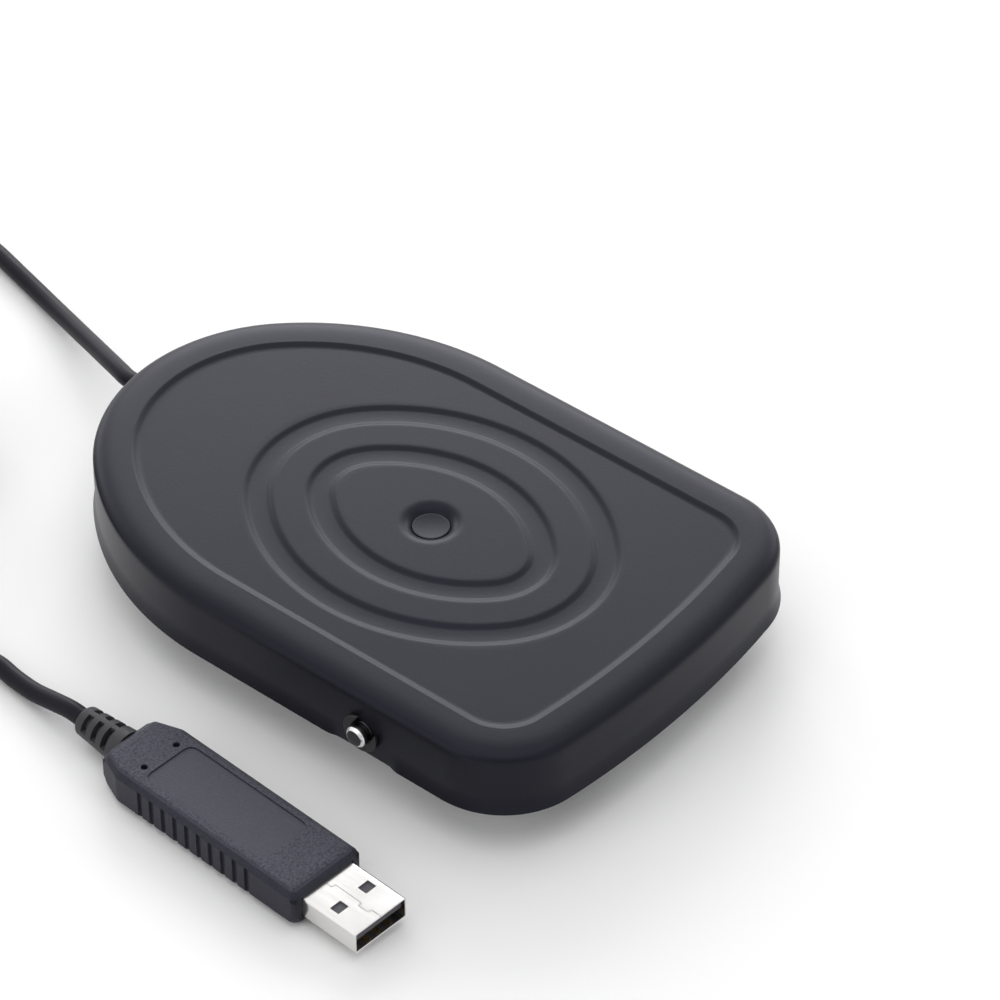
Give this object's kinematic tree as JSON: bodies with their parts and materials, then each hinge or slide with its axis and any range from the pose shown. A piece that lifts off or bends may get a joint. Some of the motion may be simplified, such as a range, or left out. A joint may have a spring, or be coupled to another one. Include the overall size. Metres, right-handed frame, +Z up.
{
  "type": "usb foot pedal switch",
  "caption": "Foot pedal switch: a pressed-steel tread with oval channels tips on a cross shaft over a sprung base plate and closes a snap switch wired to a moulded plug.",
  "frame": {"origin": "on the floor under the middle of the tread", "axes": "+X across the tread, +Y towards its round end where the lead leaves, +Z up"},
  "size_m": [0.1179, 0.21, 0.0217],
  "materials": {
    "tread": "satin black powder coat",
    "zinc": "zinc plate",
    "shaft": "turned and plated",
    "spring": "drawn spring wire",
    "clip": "black oxide",
    "nylon": "natural nylon",
    "rubber": "matte",
    "cable": "satin black jacket",
    "plastic": "fine spark texture",
    "resin": "moulded",
    "brass": "gold flash",
    "nickel": "nickel plate",
    "board": "solder resist"
  },
  "bodies": {
    "base": {"base_plate": "zinc", "pivot_shaft": "shaft", "pivot_spacers": "nylon", "e_clip_left": "clip", "e_clip_right": "clip", "rubber_feet": "rubber", "foot_screws": "zinc", "front_stop_strip": "rubber", "stop_bumpers": "rubber", "return_spring": "spring", "spring_seat": "nylon", "switch_case": "resin", "switch_cover": "resin", "switch_terminals": "brass", "switch_bracket": "zinc", "switch_screws": "zinc", "switch_nuts": "zinc", "bracket_screw": "zinc", "cable_gland": "rubber", "cable_inner": "cable", "cable_clamp": "plastic", "clamp_screw": "zinc", "lead_wires": "cable", "cable_lead": "cable", "cable_coil": "cable", "cable_tail": "cable", "coil_tie": "plastic", "plug_strain_relief": "cable", "plug_overmold": "plastic", "plug_shell": "nickel", "plug_tongue": "resin", "plug_contacts": "brass", "plug_board": "board", "plug_chip": "resin"},
    "tread": {"tread": "tread", "tread_rivet": "tread", "rivet_washer": "zinc", "spring_cap": "nylon"},
    "plunger": {"switch_plunger": "nylon"}
  },
  "joints": [
    {"name": "tread_hinge", "type": "hinge", "parent": "base", "child": "tread", "pos_m": [0, -0.0262, 0.0133], "axis": [-1, 0, 0], "range_deg": [0, 2.5], "stiffness_Nm_per_rad": 1.6, "springref_deg": -14.32, "deforming": ["return_spring"]},
    {"name": "plunger_slide", "type": "slide", "parent": "base", "child": "plunger", "axis": [0, 0, -1], "range_m": [0, 0.0007]}
  ],
  "couplings": [
    {"joint": "plunger_slide", "follows": "tread_hinge", "m_per_rad": 0.016}
  ]
}
